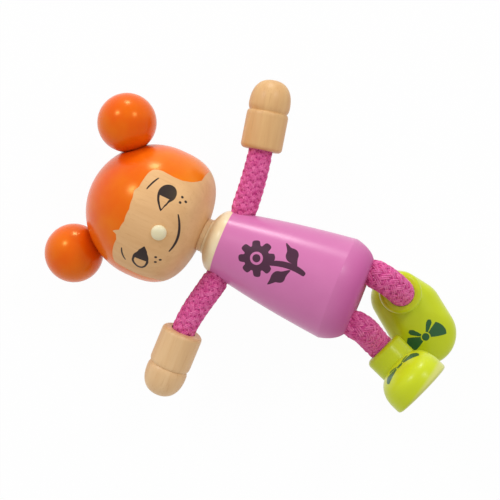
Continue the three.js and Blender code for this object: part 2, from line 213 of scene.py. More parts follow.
arm_wall = neckline_radius + (hem_radius - neckline_radius) * arm_drop / hem_drop
limb_points = {}
hand_places = {}
for side, way, cord_length, cord_raised, cord_lifted, hand_raised, hand_lifted in (
    ("left", 1, 17.7, 5.7, 0, 10.8, 0),
    ("right", -1, 17.3, 11, -6, 2.2, -14),
):
    mouth = in_body(way * arm_wall, -arm_drop)
    entry = mouth + sideways(way, cord_raised, cord_lifted) * cord_length
    into = sideways(way, hand_raised, hand_lifted)
    root = in_body(way * (arm_wall - arm_bore), -arm_drop)
    limb_points[f"arm_{side}"] = limb_line(root, mouth, entry, into, hand_bore, arm_mouth_stiffness)
    hand_places[side] = place_of(entry, into, (0, 0, 1))

left_toe = turn("Z", 142) @ Vector((0, 1, 0))
right_up = turn("Z", -22.5) @ Vector((0, 1, 0))
shoe_places = {}
for side, way, ankle, up, toe in (
    ("left", 1, (5.2, -49.9, shoe_height), Vector((0, 0, 1)), left_toe),
    ("right", -1, (-10.7, -50.6, 16.3), right_up, Vector((0, 0, 1))),
):
    entry = Vector((neckline_middle.x + ankle[0], neckline_middle.y + ankle[1], ankle[2]))
    root = in_body(way * leg_spread, leg_bore - body_drop)
    mouth = in_body(way * leg_spread, -body_drop)
    limb_points[f"leg_{side}"] = limb_line(root, mouth, entry, -up, shoe_bore, leg_mouth_stiffness)
    shoe_places[side] = place_of(entry - up * shoe_height, toe, up)
for side, place in hand_places.items():
    print(side, "hand at", [round(c / MM, 1) for c in place.translation])

# %% [markdown]
# ## A lathe
# Most of the doll is turned wood, so most of it can be made in one way: draw half of the outline,
# then spin it about the axis. The half outline is one point of a small plane, extruded from each
# point of the profile to the next. Spin copies it round in a full circle, and merging the doubles
# closes the last gap and the poles.


# %% Lathe
def arc(radius, height, power, start, end, steps):
    """Points of |r/radius|^power + |h/height|^power = 1 from one angle to another, in degrees."""
    points = []
    for i in range(steps + 1):
        angle = math.radians(start + (end - start) * i / steps)
        across = abs(math.cos(angle)) ** (2 / power)
        up = math.copysign(abs(math.sin(angle)) ** (2 / power), math.sin(angle))
        points.append((radius * across, height * up))
    return points


def only(piece):
    """Select one piece and nothing else."""
    bpy.ops.object.select_all(action="DESELECT")
    piece.select_set(True)
    bpy.context.view_layer.objects.active = piece


def lathe(name, profile, steps=96):
    """A closed piece from (radius, height) points in mm that start and end on the Y axis."""
    bpy.ops.mesh.primitive_plane_add(size=MM)
    piece = bpy.context.object
    piece.name = piece.data.name = name
    points = [Vector((r, h, 0)) * MM for r, h in profile]
    bpy.ops.object.mode_set(mode="EDIT")
    bpy.ops.mesh.merge(type="CENTER")
    bpy.ops.transform.translate(value=points[0])
    for here, there in zip(points, points[1:]):
        bpy.ops.mesh.extrude_region_move(TRANSFORM_OT_translate={"value": there - here})
    bpy.ops.mesh.select_all(action="SELECT")
    bpy.ops.mesh.spin(steps=steps, angle=math.tau, center=(0, 0, 0), axis=(0, 1, 0))
    bpy.ops.mesh.select_all(action="SELECT")
    bpy.ops.mesh.remove_doubles(threshold=0.001 * MM)
    bpy.ops.mesh.normals_make_consistent(inside=False)
    bpy.ops.object.mode_set(mode="OBJECT")
    return piece


def put(piece, place, sharp=40):
    """Set a piece in its place, and shade it smooth except over edges sharper than this."""
    piece.matrix_world = place
    only(piece)
    bpy.ops.object.transform_apply()
    bpy.ops.object.shade_smooth_by_angle(angle=math.radians(sharp))
    return piece


def cut(piece, tool, operation="DIFFERENCE"):
    """Bore a piece with a tool, or join the two, and throw the tool away."""
    modifier = piece.modifiers.new("cut", "BOOLEAN")
    modifier.operation = operation
    modifier.object = tool
    only(piece)
    bpy.ops.object.modifier_apply(modifier="cut")
    bpy.data.objects.remove(tool)
    return piece


def drill(from_point, to_point, radius):
    """A drill between two points in mm."""
    a, b = Vector(from_point) * MM, Vector(to_point) * MM
    lean = (b - a).to_track_quat("Z", "Y").to_euler()
    bpy.ops.mesh.primitive_cylinder_add(
        vertices=64, radius=radius * MM, depth=(b - a).length, location=(a + b) / 2, rotation=lean
    )
    bit = bpy.context.object
    only(bit)
    bpy.ops.object.transform_apply()
    return bit


def copy_of(piece, name):
    """A copy of a piece with a mesh of its own."""
    twin = piece.copy()
    twin.data = piece.data.copy()
    twin.name = twin.data.name = name
    bpy.context.scene.collection.objects.link(twin)
    return twin


def finish_piece(piece, body, finish, node):
    """Give a piece its finish, its body and the plain solid that it stands for."""
    piece.data.materials.clear()
    piece.data.materials.append(finish)
    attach(piece, body)
    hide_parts(node)
    print(piece.name, len(piece.data.polygons), "faces")


# %% [markdown]
# ## Finishes: tools
# A finish is a network of nodes. One small function adds a node, sets it up and links what goes in.
# Colours are written as on a web page and turned to the linear values that a renderer works in.
# Patterns are laid out in mm in a piece's own frame, so they stay on the piece wherever it goes.


# %% Node and colour tools
def linear(code):
    """A #rrggbb colour as linear red, green, blue and alpha."""
    parts = [int(code[i : i + 2], 16) / 255 for i in (1, 3, 5)]
    return [c / 12.92 if c <= 0.04045 else ((c + 0.055) / 1.055) ** 2.4 for c in parts] + [1]


def result_of(node):
    """A node's first output that its settings leave in use."""
    return next(socket for socket in node.outputs if not socket.is_unavailable)


def add(tree, kind, inputs=(), **settings):
    """Add a node. Inputs are values, sockets or nodes, in order or by name."""
    node = tree.nodes.new("ShaderNode" + kind)
    for key, value in settings.items():
        setattr(node, key, value)
    sockets = [s for s in node.inputs if not s.is_unavailable]
    pairs = inputs.items() if isinstance(inputs, dict) else enumerate(inputs)
    for key, value in pairs:
        socket = sockets[key] if isinstance(key, int) else node.inputs[key]
        if isinstance(value, bpy.types.Node):
            value = result_of(value)
        if isinstance(value, bpy.types.NodeSocket):
            tree.links.new(value, socket)
        elif value is not None:
            socket.default_value = value
    return node


def maths(tree, operation, *values):
    """A sum, a product or the like of sockets, nodes and numbers."""
    return add(tree, "Math", values, operation=operation)


def ramp(tree, value, low, high, at_low=0, at_high=1):
    """Goes from one number to another while a value goes from low to high."""
    ends = {"From Min": low, "From Max": high, "To Min": at_low, "To Max": at_high}
    return add(tree, "MapRange", {"Value": value, **ends})


def new_finish(name, **values):
    """A material with its shader's fixed values set on the shader itself."""
    material = bpy.data.materials.new(name)
    material.use_nodes = True
    shader = material.node_tree.nodes["Principled BSDF"]
    for key, value in values.items():
        shader.inputs[key.replace("_", " ")].default_value = value
    return material, material.node_tree, shader


def feed(tree, shader, name, node):
    """Let a node's result steer one of the shader's inputs."""
    tree.links.new(result_of(node), shader.inputs[name])


def mix(tree, share, first, second):
    """Go from one colour to another by a share. A colour is a #rrggbb code or a node."""
    colours = [linear(c) if isinstance(c, str) else c for c in (first, second)]
    return add(tree, "Mix", [share, *colours], data_type="RGBA")


def noise(tree, where, scale, detail, low=None, high=None, **more):
    """Soft noise, and if a low and a high are given, stretched so that they become 0 and 1."""
    cloud = add(tree, "TexNoise", {"Vector": where, "Scale": scale, "Detail": detail, **more})
    if low is None:
        return cloud
    return ramp(tree, cloud.outputs["Fac"], low, high)


def paint_step(tree, shader, wood):
    """A film of paint stands a little above the bare wood beside it."""
    film = maths(tree, "MULTIPLY", wood, -1.0)
    bump = add(tree, "Bump", {"Strength": 0.5, "Distance": 0.00006, "Height": film})
    feed(tree, shader, "Normal", bump)


def own_frame(tree, place):
    """Coordinates in mm in a piece's own frame, whatever its place."""
    where = add(tree, "TexCoord").outputs["Object"]
    local = add(
        tree,
        "Mapping",
        {"Vector": where, "Location": place.translation, "Rotation": place.to_euler()},
        vector_type="TEXTURE",
    )
    return add(tree, "VectorMath", [local, (1000, 1000, 1000)], operation="MULTIPLY")


def unrolled(tree, millimetres, radius):
    """u round a turned piece from the middle of its front, v up its axis, both in mm."""
    xyz = add(tree, "SeparateXYZ", [millimetres])
    angle = maths(tree, "ARCTAN2", xyz.outputs["X"], xyz.outputs["Z"])
    u = maths(tree, "MULTIPLY", angle, radius)
    return add(tree, "CombineXYZ", [u, xyz.outputs["Y"], 0.0])


# %% [markdown]
# ## Drawing on wood
# The face, the print and the bows are printed on, so they are drawn by the material, where their
# edges stay crisp at any size. A closed outline is kept as a curve of radius against angle round a
# middle point: a point is inside where its own radius is less than the curve's. A line is a piece of
# a circle with a width, and a dot is a small circle.


# %% Pens
pen_edge = 0.12  # where a line has no width, it stays this far under the surface
pen_taper = 0.15  # nearer 0, a line keeps its width until close to its ends


def ink(tree, depth, edge=0.06):
    """1 where a depth in mm is above zero, with an edge as soft as a printed one."""
    return ramp(tree, depth, -edge, edge)


def outline_depth(tree, uv, middle, outline, corners=()):
    """How far inside a closed outline of (u, v) points each place is, measured along its radius."""
    rays = []
    for i, (u, v) in enumerate(outline):
        du, dv = u - middle[0], v - middle[1]
        rays.append((math.atan2(du, dv) / math.tau + 0.5, math.hypot(du, dv), i in corners))
    rays.sort()
    largest = max(r for _, r, _ in rays)
    first, last = rays[0], rays[-1]
    seam = first[1] + (last[1] - first[1]) * first[0] / (first[0] + 1 - last[0])
    rays = [ray for ray in rays if 0.0001 < ray[0] < 0.9999]
    rays = [(0.0, seam, False), *rays, (1.0, seam, False)]

    away = add(tree, "VectorMath", [uv, (*middle, 0)], operation="SUBTRACT")
    xyz = add(tree, "SeparateXYZ", [away])
    angle = maths(tree, "ARCTAN2", xyz.outputs["X"], xyz.outputs["Y"])
    share = maths(tree, "MULTIPLY_ADD", angle, 1 / math.tau, 0.5)
    curve = add(tree, "FloatCurve", {"Value": share})
    line = curve.mapping.curves[0]
    for position, radius, _ in rays[1:-1]:
        line.points.new(position, radius / largest)
    line.points[0].location = (0, rays[0][1] / largest)
    line.points[-1].location = (1, rays[-1][1] / largest)
    for point, (_, _, corner) in zip(line.points, rays):
        point.handle_type = "VECTOR" if corner else "AUTO_CLAMPED"
    curve.mapping.update()
    reach = maths(tree, "MULTIPLY", curve, largest)
    radius = add(tree, "VectorMath", [away], operation="LENGTH").outputs["Value"]
    return maths(tree, "SUBTRACT", reach, radius)


def line_depth(tree, uv, start, middle, end, width):
    """How far inside a curved line each place is. The line thins toward its two ends."""
    (ax, ay), (bx, by), (cx, cy) = start, middle, end
    d = 2 * (ax * (by - cy) + bx * (cy - ay) + cx * (ay - by))
    ux = ((ax**2 + ay**2) * (by - cy) + (bx**2 + by**2) * (cy - ay) + (cx**2 + cy**2) * (ay - by)) / d
    uy = ((ax**2 + ay**2) * (cx - bx) + (bx**2 + by**2) * (ax - cx) + (cx**2 + cy**2) * (bx - ax)) / d
    centre = Vector((ux, uy, 0))
    ends = [(Vector((*p, 0)) - centre) for p in (start, end)]
    bend = ends[0].length
    towards = (ends[0] + ends[1]).normalized()
    spread = ends[0].normalized().dot(towards)

    away = add(tree, "VectorMath", [uv, centre], operation="SUBTRACT")
    radius = add(tree, "VectorMath", [away], operation="LENGTH").outputs["Value"]
    off = maths(tree, "SUBTRACT", radius, bend)
    off = maths(tree, "ABSOLUTE", off)
    unit = add(tree, "VectorMath", [away], operation="NORMALIZE")
    along = add(tree, "VectorMath", [unit, towards], operation="DOT_PRODUCT").outputs["Value"]
    inside = ramp(tree, along, spread, 1.0)
    taper = maths(tree, "POWER", inside, pen_taper)
    half = maths(tree, "MULTIPLY_ADD", taper, width / 2 + pen_edge, -pen_edge)
    return maths(tree, "SUBTRACT", half, off)


def dot_depth(tree, uv, middle, radius):
    """How far inside a dot each place is."""
    away = add(tree, "VectorMath", [uv, (*middle, 0)], operation="DISTANCE").outputs["Value"]
    return maths(tree, "SUBTRACT", radius, away)


def deepest(tree, depths, operation="MAXIMUM"):
    """Join shapes, or with MINIMUM keep only what is inside all of them."""
    result = depths[0]
    for depth in depths[1:]:
        result = maths(tree, operation, result, depth)
    return result


# %% [markdown]
# ## Bare wood
# Maple and beech are pale and close-grained. Up close they show soft bands along the grain and short
# dark flecks a few tenths of a millimetre wide and a few millimetres long. Both are noise that is
# stretched along the axis, because the grain runs along a turning. A thin clear lacquer gives a
# satin shine.


# %% Wood grain
def grain(tree, millimetres, pale, dark, fleck):
    """The colour of close-grained wood with its grain along Y, and its bands alone."""
    bands = add(tree, "VectorMath", [millimetres, (0.35, 0.035, 0.35)], operation="MULTIPLY")
    band = noise(tree, bands, 1.0, 4.0, 0.3, 0.7, Distortion=0.6)
    colour = mix(tree, band, pale, dark)
    lines = add(tree, "VectorMath", [millimetres, (2.2, 0.16, 2.2)], operation="MULTIPLY")
    line = noise(tree, lines, 1.0, 3.0, 0.58, 0.72)
    line = maths(tree, "MULTIPLY", line, 0.3)
    return mix(tree, line, colour, fleck), band


def bare_wood(name, place, pale, dark, fleck):
    """Satin wood: soft bands along the turning, fine flecks, and a faint relief that breaks the shine."""
    material, tree, shader = new_finish(name, Roughness=0.42)
    colour, band = grain(tree, own_frame(tree, place), pale, dark, fleck)
    feed(tree, shader, "Base Color", colour)
    feed(tree, shader, "Normal", add(tree, "Bump", {"Strength": 0.25, "Distance": 0.00004, "Height": band}))
    return material


# %% [markdown]
# ## The head
# The head is one turning with a round crown and a squarer chin. The hair isn't modelled: it is orange
# lacquer over the same wood, so the head is one piece with one finish, and a drawn outline says where
# the wood shows. The bore for the neck peg is part of the profile.

# %% Head shape
chin = [p for p in arc(head_radius, chin_height, chin_square, -90, 0, 40) if p[1] > -chin_flat]
crown = arc(head_radius, crown_height, 2, 0, 90, 28)[1:-1]
neck_bore = neck_peg_radius + bore_air
head_profile = [
    (0, neck_peg_up + bore_air - chin_flat),
    (neck_bore, neck_peg_up + bore_air - chin_flat),
    (neck_bore, -chin_flat),
    (collar_radius, -chin_flat),
    *chin,
    *crown,
    (0, crown_height),
]
head = lathe("head_turned", head_profile, steps=128)

bun_seat = 0.12  # air under a bun in its dish


def ball(centre, radius):
    """A ball to cut with, in mm."""
    bpy.ops.mesh.primitive_uv_sphere_add(
        segments=64, ring_count=40, radius=radius * MM, location=Vector(centre) * MM
    )
    tool = bpy.context.object
    only(tool)
    bpy.ops.object.transform_apply()
    return tool


for side in (1, -1):
    centre = Vector((bun_line.x * side, bun_line.y, 0))
    cut(head, ball(centre, bun_radius + bun_seat))
    cut(head, drill(centre.normalized() * bun_peg_root, centre, bun_peg_bore))
put(head, head_place)

# %% [markdown]
# The face is drawn in u, mm round the head from the middle of the face, and v, mm up from the widest
# ring. The opening in the hair is a closed outline. Below it, the hair ends in a level line at the
# nape. An eye is a pointed outline with a dark part on one side, and the line round it is the same
# outline made a little smaller.

# %% Head finish
face_window = [
    (-34, -21), (-20.7, -9.7), (-18.1, -7.8), (-17.1, -4.1), (-16.5, 0.2), (-16.2, 3.3), (-13.7, 4.2),
    (-10.5, 4.6), (-7.2, 4.4), (-5.7, 5.0), (-5.4, 6.5), (-4.2, 4.6), (-1.1, 4.1), (2.6, 4.1), (5.8, 4.5),
    (7.8, 5.0), (9.3, 4.2), (11.9, 4.0), (14.1, 3.7), (15.7, 2.9), (16.2, 1.1), (16.1, -1.2),
    (16.0, -3.4), (16.2, -5.1), (16.7, -6.1), (17.3, -7.1), (18.2, -8.0), (19.1, -8.6), (20.4, -9.1),
    (21.6, -9.6), (34, -21),
]
window_corners = [*range(20), 30]  # points that are joined by straight lines, while the rest are smooth
left_eye = [
    (5.5, -3.8), (7.6, -1.9), (9.4, -1.1), (10.9, -1.0), (12.2, -1.5), (13.2, -2.7), (13.3, -4.3),
    (12.2, -5.5), (10.8, -5.8), (9.2, -5.3), (7.4, -4.5),
]
right_eye = [
    (-5.2, -3.4), (-6.6, -2.4), (-8.3, -1.6), (-9.9, -1.2), (-11.4, -1.3), (-12.7, -2.3),
    (-13.3, -3.8), (-12.6, -5.0), (-11.2, -5.6), (-9.5, -5.6), (-7.8, -5.1), (-6.4, -4.4),
]
face_dots = [
    (11.8, -7.3), (11.2, -8.6), (10.1, -7.4),
    (-7.5, -7.1), (-8.2, -8.4), (-9.3, -7.4),
]


def eye_ink(tree, uv, outline, middle, pupil_from, line_width=0.7):
    """The line round an eye, and the dark part at one side of it."""
    whole = outline_depth(tree, uv, middle, outline, corners=(0,))
    inner = maths(tree, "SUBTRACT", line_width, whole)
    u = add(tree, "SeparateXYZ", [uv]).outputs["X"]
    pupil = maths(tree, "SUBTRACT", u, pupil_from)
    dark = deepest(tree, [inner, pupil])
    return deepest(tree, [whole, dark], "MINIMUM")


def hair_lacquer(tree, millimetres, painted_light_share, crease):
    """Mottled orange lacquer, red with painted shade in a crease, and yellower with painted light by a
    share.
    """
    share = add(tree, "Mix", [0.6, noise(tree, millimetres, 0.13, 2.0, 0.3, 0.7), painted_light_share], data_type="FLOAT")
    painted_shade = maths(tree, "MULTIPLY", crease, 0.7)
    return mix(tree, painted_shade, mix(tree, share, "#e64a02", "#ef8010"), "#b32406")


def nearness(tree, millimetres, centre, near, far):
    """1 at one distance from a centre and 0 at another, in mm."""
    away = add(tree, "VectorMath", [millimetres, centre], operation="DISTANCE").outputs["Value"]
    close = ramp(tree, away, far, near)
    return maths(tree, "POWER", close, 2.0)


lacquer_tint = (1.0, 0.78, 0.22, 1.0)  # the shine of an orange lacquer is warm

# Smooth orange lacquer with a soft shine, and satin bare wood in the opening, with a crisp edge between
lacquered_head, tree, shader = new_finish("orange_lacquer_over_maple", Specular_IOR_Level=0.45)
shader.inputs["Specular Tint"].default_value = lacquer_tint
head_mm = own_frame(tree, head_place)
uv = unrolled(tree, head_mm, head_radius)
opening = outline_depth(tree, uv, (0.5, -5.0), face_window, window_corners)
nape_rise = -9.5  # the hair ends here at the back
height = add(tree, "SeparateXYZ", [uv]).outputs["Y"]
nape = maths(tree, "SUBTRACT", nape_rise, height)
bare = ink(tree, deepest(tree, [opening, nape]), edge=0.09)
skin, _ = grain(tree, head_mm, "#e6b785", "#dcab79", "#c68f5e")
# Painted light: the lacquer is made yellower toward the chin and redder toward the crown
painted_light_share = ramp(tree, height, 15.0, -8.0)
# Painted shade in the crease round each bun: most where the two touch, none 4.5 mm away
painted_crease_shades = [nearness(tree, head_mm, (way * bun_line.x, bun_line.y, 0), 8.0, 12.5) for way in (1, -1)]
hair = hair_lacquer(tree, head_mm, painted_light_share, deepest(tree, painted_crease_shades))
painted = mix(tree, bare, hair, skin)
marks = [
    eye_ink(tree, uv, left_eye, (10.5, -3.4), 9.4),
    eye_ink(tree, uv, right_eye, (-9.6, -3.6), -9.9),
    line_depth(tree, uv, (6.9, -8.2), (1.0, -10.4), (-4.9, -9.7), 0.62),
    line_depth(tree, uv, (9.4, 2.1), (11.5, 1.5), (13.8, 0.5), 0.5),
    line_depth(tree, uv, (-8.7, 2.3), (-10.8, 1.6), (-12.4, 0.3), 0.5),
    *[dot_depth(tree, uv, spot, 0.38) for spot in face_dots],
]
front = add(tree, "SeparateXYZ", [head_mm]).outputs["Z"]
marked = ink(tree, deepest(tree, [deepest(tree, marks), front], "MINIMUM"))
feed(tree, shader, "Base Color", mix(tree, marked, painted, "#120928"))
feed(tree, shader, "Roughness", ramp(tree, bare, 0, 1, 0.24, 0.45))
paint_step(tree, shader, bare)
finish_piece(head, "head", lacquered_head, "head")

# %% [markdown]
# ## Buns and nose
# The buns are two turned balls in the same lacquer. A ball from a lathe keeps a hint of its poles, so
# each is spun about the line of its peg. The nose is a small cream button whose back sits in the face.

# %% Buns
bore_end = bun_peg_depth - bun_radius
skin_points = arc(bun_radius, bun_radius, 2, -90, 90, 56)
bun_profile = [(0, bore_end), (bun_peg_bore, bore_end)]
bun_profile += [p for p in skin_points if p[1] > 0 or p[0] > bun_peg_bore][:-1] + [(0, bun_radius)]
bun_model = lathe("bun", bun_profile, steps=80)

# The same orange lacquer, where no wood shows
orange, tree, shader = new_finish("orange_lacquer", Roughness=0.24, Specular_IOR_Level=0.45)
shader.inputs["Specular Tint"].default_value = lacquer_tint
bun_mm = own_frame(tree, head_place)
# Painted shade on each bun where it meets the head, fading out 21.5 mm from the head's middle
hair = hair_lacquer(tree, bun_mm, 0.25, nearness(tree, bun_mm, (0, 0, 0), 17.3, 21.5))
feed(tree, shader, "Base Color", hair)

for name, side in (("left", 1), ("right", -1)):
    line = Vector((bun_line.x * side, bun_line.y, 0)) * MM
    own = Matrix.Translation(line) @ Vector((0, 1, 0)).rotation_difference(line).to_matrix().to_4x4()
    bun = put(copy_of(bun_model, f"bun_{name}_turned"), head_place @ own)
    finish_piece(bun, "head", orange, f"bun_{name}")
bpy.data.objects.remove(bun_model)

# %% Nose
nose_drop = 5.6
nose_radius = 2.1
nose_height = 1.35
nose_sink = 0.3
nose_pin_radius = 0.9
nose_pin_length = 5


def head_surface(rise):
    """How far the head's surface is from its axis, at a height over the widest ring."""
    height, power = (crown_height, 2) if rise > 0 else (chin_height, chin_square)
    return head_radius * (1 - abs(rise / height) ** power) ** (1 / power)


slope = head_surface(-nose_drop - 0.5) - head_surface(-nose_drop + 0.5)
nose_out = Vector((0, slope, 1)).normalized()
nose_profile = [
    (0, -nose_pin_length),
    (nose_pin_radius, -nose_pin_length),
    (nose_pin_radius, -nose_sink),
    (nose_radius, -nose_sink),
    *arc(nose_radius, nose_height, 2.2, 0, 90, 16)[:-1],
    (0, nose_height),
]
nose_own = Matrix.Translation(Vector((0, -nose_drop, head_surface(-nose_drop))) * MM)
nose_own = nose_own @ Vector((0, 1, 0)).rotation_difference(nose_out).to_matrix().to_4x4()
nose = put(lathe("nose_turned", nose_profile, steps=56), head_place @ nose_own)
# Cream satin paint, paler and yellower than the face round it
cream = bare_wood("cream_satin_paint", head_place, "#e9deb9", "#e2d4a8", "#d8c795")
finish_piece(nose, "head", cream, "nose")

# %% [markdown]
# ## Neck and pegs
# A peg with a collar joins the head to the body, and only the collar's edge shows. The pegs in the
# buns are never seen. They stay as they are in the frame, with the wood's finish.

# %% Neck
collar_soft = 0.12
collar_gap = 0.03  # between the collar and the wood under and over it
foot = bore_air - neck_peg_down
collar_top = 2 * bore_air + collar_height - collar_gap
peg_top = bore_air + collar_height + neck_peg_up
neck_profile = [
    (0, foot),
    (neck_peg_radius, foot),
    (neck_peg_radius, collar_gap),
    (collar_radius - collar_soft, collar_gap),
    (collar_radius, collar_gap + collar_soft),
    (collar_radius, collar_top - collar_soft),
    (collar_radius - collar_soft, collar_top),
    (neck_peg_radius, collar_top),
    (neck_peg_radius, peg_top),
    (0, peg_top),
]
neck = put(lathe("neck_peg_turned", neck_profile, steps=72), neck_place)
# Pale beech with a little lacquer: a warm tan ring under the chin
peg_wood = bare_wood("beech_clear_lacquer", neck_place, "#e8c593", "#dfb883", "#c99a66")
finish_piece(neck, "trunk", peg_wood, "neck_peg")
for side in ("left", "right"):
    for material_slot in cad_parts[f"bun_peg_{side}"].material_slots:
        material_slot.material = peg_wood

# %% [markdown]
# ## The body
# The body is a bell: a small shoulder dome, a side that widens, a hem that turns in at a slight crease
# and then rounds off, and a flat base. Five blind holes are bored in it.

# %% Body shape
hem_crease = 25  # degrees that the rounding turns in at once where the side ends


def side_radius(drop):
    """The radius of the bell's side, at a distance below the neckline."""
    share = drop / hem_drop
    return neckline_radius + (hem_radius - neckline_radius) * share + hem_swell * math.sin(math.pi * share)


crease = math.radians(hem_crease)
hem_across = (hem_radius - base_radius) / math.cos(crease)
hem_tall = (body_drop - hem_drop) / (1 - math.sin(crease))
hem = [(r, h + hem_tall) for r, h in arc(hem_across, hem_tall, 2, -90, -hem_crease, 18)]
dome = [p for p in arc(neckline_radius, shoulder_top, shoulder_square, 0, 90, 30) if p[0] > neck_seat]
body_profile = [
    (0, -body_drop),
    *[(base_radius + r, -body_drop + h) for r, h in hem],
    *[(side_radius(hem_drop * i / 24), -hem_drop * i / 24) for i in range(23, 0, -1)],
    *dome,
    (neck_seat, shoulder_top),
    (0, shoulder_top),
]
body = lathe("body_turned", body_profile, steps=128)


def along_neck(rise):
    """A point of the neck's leaning line, in mm of the body's frame."""
    return body_place.inverted() @ neck_place @ (Vector((0, rise, 0)) * MM) / MM


cut(body, drill(along_neck(-neck_peg_down), along_neck(drill_start), neck_bore))
cut(body, drill(along_neck(0), along_neck(drill_start), neck_seat + bore_air))
for side in (1, -1):
    arm_end, arm_start = (side * arm_bore_end, -arm_drop, 0), (side * hem_radius, -arm_drop, 0)
    cut(body, drill(arm_end, arm_start, arm_rope + rope_air))
    across = side * leg_spread
    leg_end, leg_start = (across, leg_bore - body_drop, 0), (across, -body_drop - drill_start, 0)
    cut(body, drill(leg_end, leg_start, leg_rope + rope_air))
put(body, body_place, sharp=18)

# %% [markdown]
# The dress carries a dark purple print on its front. This one is a simple daisy with two leaves, made
# of the same closed outlines as the eyes. A daisy's edge is a circle whose radius goes in and out.

# %% Dress finish
print_radius = 11.0  # of the body at the height of the print
petals = 8
petal_reach = 5.0
petal_notch = 1.5  # how deep the gaps between petals go
daisy_middle = (-0.6, -11.2)
daisy = []
for i in range(petals * 6):
    angle = math.tau * i / (petals * 6)
    reach = petal_reach - petal_notch * (0.5 + 0.5 * math.cos(petals * angle)) ** 2.2
    daisy.append((daisy_middle[0] + reach * math.sin(angle), daisy_middle[1] + reach * math.cos(angle)))
right_leaf = [(-0.2, -21.0), (-2.2, -20.4), (-4.2, -18.6), (-5.8, -16.4), (-3.6, -16.6), (-1.4, -18.2)]
left_leaf = [(0.3, -22.6), (1.4, -20.2), (3.4, -18.2), (5.9, -17.0), (5.0, -19.4), (3.0, -21.6)]

# Lilac lacquer with a printed flower, and the bare maple of the shoulders above a painted edge
dress_paint, tree, shader = new_finish("lilac_lacquer_with_print", Roughness=0.28, Specular_IOR_Level=0.36)
body_mm = own_frame(tree, body_place)
uv = unrolled(tree, body_mm, print_radius)
flower = outline_depth(tree, uv, daisy_middle, daisy)
eye = dot_depth(tree, uv, daisy_middle, 1.75)
seed = dot_depth(tree, uv, daisy_middle, 1.1)
no_eye = maths(tree, "MULTIPLY", eye, -1.0)
ring = deepest(tree, [no_eye, seed])
shapes = [
    deepest(tree, [flower, ring], "MINIMUM"),
    line_depth(tree, uv, (-0.8, -14.4), (0.6, -20.0), (0.0, -25.0), 1.5),
    outline_depth(tree, uv, (-3.0, -18.4), right_leaf, corners=(0, 3)),
    outline_depth(tree, uv, (3.2, -19.6), left_leaf, corners=(0, 3)),
]
front = add(tree, "SeparateXYZ", [body_mm]).outputs["Z"]
printed = ink(tree, deepest(tree, [deepest(tree, shapes), front], "MINIMUM"))
lilac = mix(tree, noise(tree, body_mm, 0.12, 2.0).outputs["Fac"], "#cd6ea7", "#d57ab0")
rise = add(tree, "SeparateXYZ", [body_mm]).outputs["Y"]
# Round the hem and under it, painted shade makes the paint deeper, and the shine is duller
low = ramp(tree, rise, -33.0, -39.0)
dressed = mix(tree, printed, mix(tree, low, lilac, "#c4589a"), "#451535")
feed(tree, shader, "Roughness", ramp(tree, low, 0, 1, 0.28, 0.6))
above = ink(tree, rise, edge=0.07)
shoulder, _ = grain(tree, body_mm, "#f1dfba", "#ead4a9", "#dfc594")
feed(tree, shader, "Base Color", mix(tree, above, dressed, shoulder))
paint_step(tree, shader, above)
finish_piece(body, "trunk", dress_paint, "body")

# %% [markdown]
# ## Hands
# A hand is a cuff, a groove and a round fist, turned in one from beech. It is modelled once and
# copied for the other side. The right one is paler, which is painted light: the lamps reach it less.

# %% Hands
cuff_radius = 5.65
cuff_length = 10.4
cuff_round = 1.15
wrist_radius = 5.2
fist_radius = 5.6
fist_height = 7
fist_square = 2.4
fist_start = 4  # how fast the fist swells out of the groove
groove_lip = 0.15  # from the cuff's end to where the fist shows
hand_length = 19.2
wrist_step = cuff_radius - wrist_radius
mouth_corner = arc(cuff_round, cuff_round, 2, -90, 0, 8)
wrist_corner = arc(wrist_step, cuff_round, 2, 0, 90, 8)
fist = arc(fist_radius, fist_start, 2, -90, 0, 30)[:-1]
fist += arc(fist_radius, fist_height, fist_square, 0, 90, 40)
fist = [(r, hand_length - fist_height + h) for r, h in fist]
hand_profile = [
    (0, hand_bore),
    (arm_rope + rope_air, hand_bore),
    (arm_rope + rope_air, 0),
    *[(cuff_radius - cuff_round + r, cuff_round + h) for r, h in mouth_corner],
    *[(wrist_radius + r, cuff_length - cuff_round + h) for r, h in wrist_corner],
    *[p for p in fist[:-1] if p[1] > cuff_length + groove_lip],
    (0, hand_length),
]
hand_model = lathe("hand", hand_profile, steps=88)
# The right hand's paler wood is painted light
hand_woods_with_painted_light = {"left": ("#dfb277", "#d3a066", "#b9824a"), "right": ("#ebc390", "#e0b37e", "#c6925c")}
for side, place in hand_places.items():
    hand = put(copy_of(hand_model, f"hand_{side}_turned"), place, sharp=50)
    wood = bare_wood(f"beech_hand_{side}", place, *hand_woods_with_painted_light[side])
    finish_piece(hand, f"hand_{side}", wood, f"hand_{side}")
bpy.data.objects.remove(hand_model)

# %% [markdown]
# ## Shoes
# A shoe's sole is a belt round three circles: heel, ball and toe. It starts as one small circle, and
# each of its points moves out to the circle that reaches farthest its way. That ring is then extruded
# up and scaled down in steps until it closes in a dome, and a turned ankle is joined on. The other
# shoe is its mirror image.

# %% Shoe shape
shoe_length = 28.4
ankle_from_heel = 6.3
heel_radius = 7.5
ball_radius = 8.2
toe_radius = 8.8
shoe_slack = 0.06  # mm that keeps one shoe off the other where they pass closest
sole_circles = [  # x is negative toward the outer side, y is from the ankle toward the toe
    (0.9, heel_radius - ankle_from_heel, heel_radius - shoe_slack),
    (-0.8, 6, ball_radius - shoe_slack),
    (-0.4, shoe_length - ankle_from_heel - toe_radius, toe_radius - shoe_slack),
]
sole_inset = 0.7
sole_round = 0.9
sole_wall = 2.4
shoe_dome = 9.9 - shoe_slack
shoe_square = 2.5
dome_centre = Vector((0, 3.7, 0)) * MM
ankle_radius = 5.75
ankle_round = 1.4


def select_vertices(piece, wanted):
    """Select vertices in edit mode."""
    bpy.ops.mesh.select_all(action="DESELECT")
    bpy.ops.object.mode_set(mode="OBJECT")
    for vertex in piece.data.vertices:
        vertex.select = wanted(vertex)
    bpy.ops.object.mode_set(mode="EDIT")


